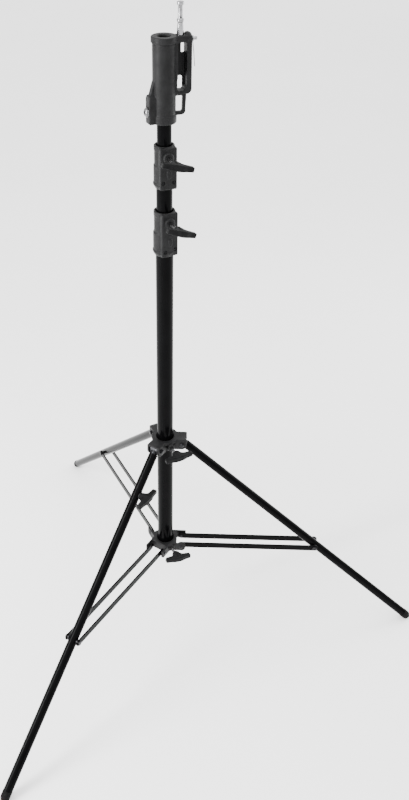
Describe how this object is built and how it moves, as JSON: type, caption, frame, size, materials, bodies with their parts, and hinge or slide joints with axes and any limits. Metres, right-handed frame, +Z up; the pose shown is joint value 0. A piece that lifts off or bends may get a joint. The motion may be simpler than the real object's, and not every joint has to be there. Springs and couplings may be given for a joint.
{
  "type": "lighting stand",
  "caption": "Telescoping tripod lighting stand with folding braced legs, a sliding levelling leg, wing-screw clamps, and a socket head with a sliding stud.",
  "frame": {"origin": "on the floor, at the centre of the box that holds the stand with its legs spread", "axes": "+Z up along the column; +X the way the head's side bracket points from the column; the levelling leg points to the -X, -Y side"},
  "size_m": [1.325, 1.2833, 1.8975],
  "materials": {
    "tube_black": "gloss black powder coat",
    "casting_grey": "textured dark grey coat on cast aluminium",
    "knob_black": "textured black coat on cast aluminium",
    "rubber_black": "matt rubber",
    "chrome": "polished chrome plate",
    "zinc_steel": "bright zinc plate",
    "black_steel": "black oxide",
    "brass": "turned brass",
    "nylon": "natural nylon"
  },
  "bodies": {
    "lower_collar": {"lower_collar": "casting_grey", "right_brace_pin_left": "black_steel", "right_brace_pin_right": "black_steel", "rear_brace_pin_left": "black_steel", "rear_brace_pin_right": "black_steel", "level_brace_pin_left": "black_steel", "level_brace_pin_right": "black_steel"},
    "lower_knob": {"lower_collar_knob": "knob_black", "lower_collar_screw": "zinc_steel"},
    "column": {"base_tube": "tube_black", "base_tube_end_plug": "rubber_black", "base_clamp": "casting_grey", "base_clamp_pad": "brass", "base_clamp_set_screw_left": "black_steel", "base_clamp_set_screw_right": "black_steel"},
    "base_knob": {"base_clamp_knob": "knob_black", "base_clamp_screw": "zinc_steel"},
    "mid_riser": {"mid_tube": "tube_black", "mid_tube_guide": "nylon", "mid_clamp": "casting_grey", "mid_clamp_pad": "brass", "mid_clamp_set_screw_left": "black_steel", "mid_clamp_set_screw_right": "black_steel"},
    "mid_knob": {"mid_clamp_knob": "knob_black", "mid_clamp_screw": "zinc_steel"},
    "top_riser": {"top_tube": "tube_black", "top_tube_guide": "nylon", "head_casting": "casting_grey", "head_lock_bolt": "zinc_steel"},
    "stud": {"baby_stud": "chrome"},
    "lock_pin": {"stud_lock_pin": "chrome", "lock_pin_clip": "chrome"},
    "upper_collar": {"upper_collar": "casting_grey", "right_pivot_bolt": "black_steel", "rear_pivot_bolt": "black_steel", "level_pivot_bolt": "black_steel"},
    "upper_knob": {"upper_collar_knob": "knob_black", "upper_collar_screw": "zinc_steel"},
    "right_leg": {"right_leg_tube": "tube_black", "right_leg_eye": "casting_grey", "right_foot": "rubber_black", "right_brace_bolt": "black_steel"},
    "rear_leg": {"rear_leg_tube": "tube_black", "rear_leg_eye": "casting_grey", "rear_foot": "rubber_black", "rear_brace_bolt": "black_steel"},
    "level_leg_rod": {"level_leg_rod": "black_steel"},
    "level_leg_slider": {"level_leg_tube": "tube_black", "level_foot": "rubber_black", "level_brace_bolt": "black_steel"},
    "level_knob": {"level_leg_knob": "knob_black", "level_leg_screw": "zinc_steel"},
    "right_braces": {"right_brace_left": "tube_black", "right_brace_right": "tube_black"},
    "rear_braces": {"rear_brace_left": "tube_black", "rear_brace_right": "tube_black"},
    "level_braces": {"level_brace_left": "tube_black", "level_brace_right": "tube_black"}
  },
  "joints": [
    {"name": "column_slide", "type": "slide", "parent": "lower_collar", "child": "column", "axis": [0, 0, 1], "range_m": [-0.24, 0]},
    {"name": "mid_riser_slide", "type": "slide", "parent": "column", "child": "mid_riser", "axis": [0, 0, 1], "range_m": [-0.058, 0.8]},
    {"name": "top_riser_slide", "type": "slide", "parent": "mid_riser", "child": "top_riser", "axis": [0, 0, 1], "range_m": [-0.051, 0.85]},
    {"name": "stud_slide", "type": "slide", "parent": "top_riser", "child": "stud", "axis": [0, 0, 1], "range_m": [-0.07, 0]},
    {"name": "lock_pin_slide", "type": "slide", "parent": "top_riser", "child": "lock_pin", "axis": [1, 0, 0], "range_m": [0, 0.016]},
    {"name": "fold_slide", "type": "slide", "parent": "lower_collar", "child": "upper_collar", "axis": [0, 0, 1], "range_m": [0, 0.5723]},
    {"name": "right_leg_fold", "type": "hinge", "parent": "upper_collar", "child": "right_leg", "pos_m": [-0.03079, -0.13668, 0.687], "axis": [0.3173, 0.9483, 0], "range_deg": [0, 46.79]},
    {"name": "rear_leg_fold", "type": "hinge", "parent": "upper_collar", "child": "rear_leg", "pos_m": [-0.08588, -0.07441, 0.687], "axis": [-0.9799, -0.1994, 0], "range_deg": [0, 46.79]},
    {"name": "level_leg_fold", "type": "hinge", "parent": "upper_collar", "child": "level_leg_rod", "pos_m": [-0.11226, -0.15325, 0.687], "axis": [0.6626, -0.749, 0], "range_deg": [0, 46.79]},
    {"name": "level_leg_slide", "type": "slide", "parent": "level_leg_rod", "child": "level_leg_slider", "axis": [-0.5459, -0.483, -0.6847], "range_m": [0, 0.15]},
    {"name": "right_brace_fold", "type": "hinge", "parent": "lower_collar", "child": "right_braces", "pos_m": [-0.03079, -0.13668, 0.298], "axis": [-0.3173, -0.9483, 0], "range_deg": [0, 88.82]},
    {"name": "rear_brace_fold", "type": "hinge", "parent": "lower_collar", "child": "rear_braces", "pos_m": [-0.08588, -0.07441, 0.298], "axis": [0.9799, 0.1994, 0], "range_deg": [0, 88.82]},
    {"name": "level_brace_fold", "type": "hinge", "parent": "lower_collar", "child": "level_braces", "pos_m": [-0.11226, -0.15325, 0.298], "axis": [-0.6626, 0.749, 0], "range_deg": [0, 88.82]},
    {"name": "lower_knob_turn", "type": "hinge", "parent": "lower_collar", "child": "lower_knob", "pos_m": [-0.06355, -0.18416, 0.298], "axis": [0.1994, -0.9799, 0], "range_deg": [-360, 0]},
    {"name": "upper_knob_turn", "type": "hinge", "parent": "upper_collar", "child": "upper_knob", "pos_m": [-0.06355, -0.18416, 0.687], "axis": [0.1994, -0.9799, 0], "range_deg": [-360, 0]},
    {"name": "base_knob_turn", "type": "hinge", "parent": "column", "child": "base_knob", "pos_m": [-0.06181, -0.18686, 1.38], "axis": [0.2164, -0.9763, 0], "range_deg": [-360, 0]},
    {"name": "mid_knob_turn", "type": "hinge", "parent": "mid_riser", "child": "mid_knob", "pos_m": [-0.06977, -0.18813, 1.549], "axis": [0.0976, -0.9952, 0], "range_deg": [-360, 0]},
    {"name": "level_knob_turn", "type": "hinge", "parent": "level_leg_slider", "child": "level_knob", "pos_m": [-0.1762, -0.23025, 0.59409], "axis": [0.6626, -0.749, 0], "range_deg": [-360, 0]}
  ],
  "couplings": [
    {"joint": "right_leg_fold", "follows": "fold_slide", "rad_per_m": 1.4269},
    {"joint": "right_brace_fold", "follows": "fold_slide", "rad_per_m": 2.7088},
    {"joint": "rear_leg_fold", "follows": "fold_slide", "rad_per_m": 1.4269},
    {"joint": "rear_brace_fold", "follows": "fold_slide", "rad_per_m": 2.7088},
    {"joint": "level_leg_fold", "follows": "fold_slide", "rad_per_m": 1.4269},
    {"joint": "level_brace_fold", "follows": "fold_slide", "rad_per_m": 2.7088}
  ]
}
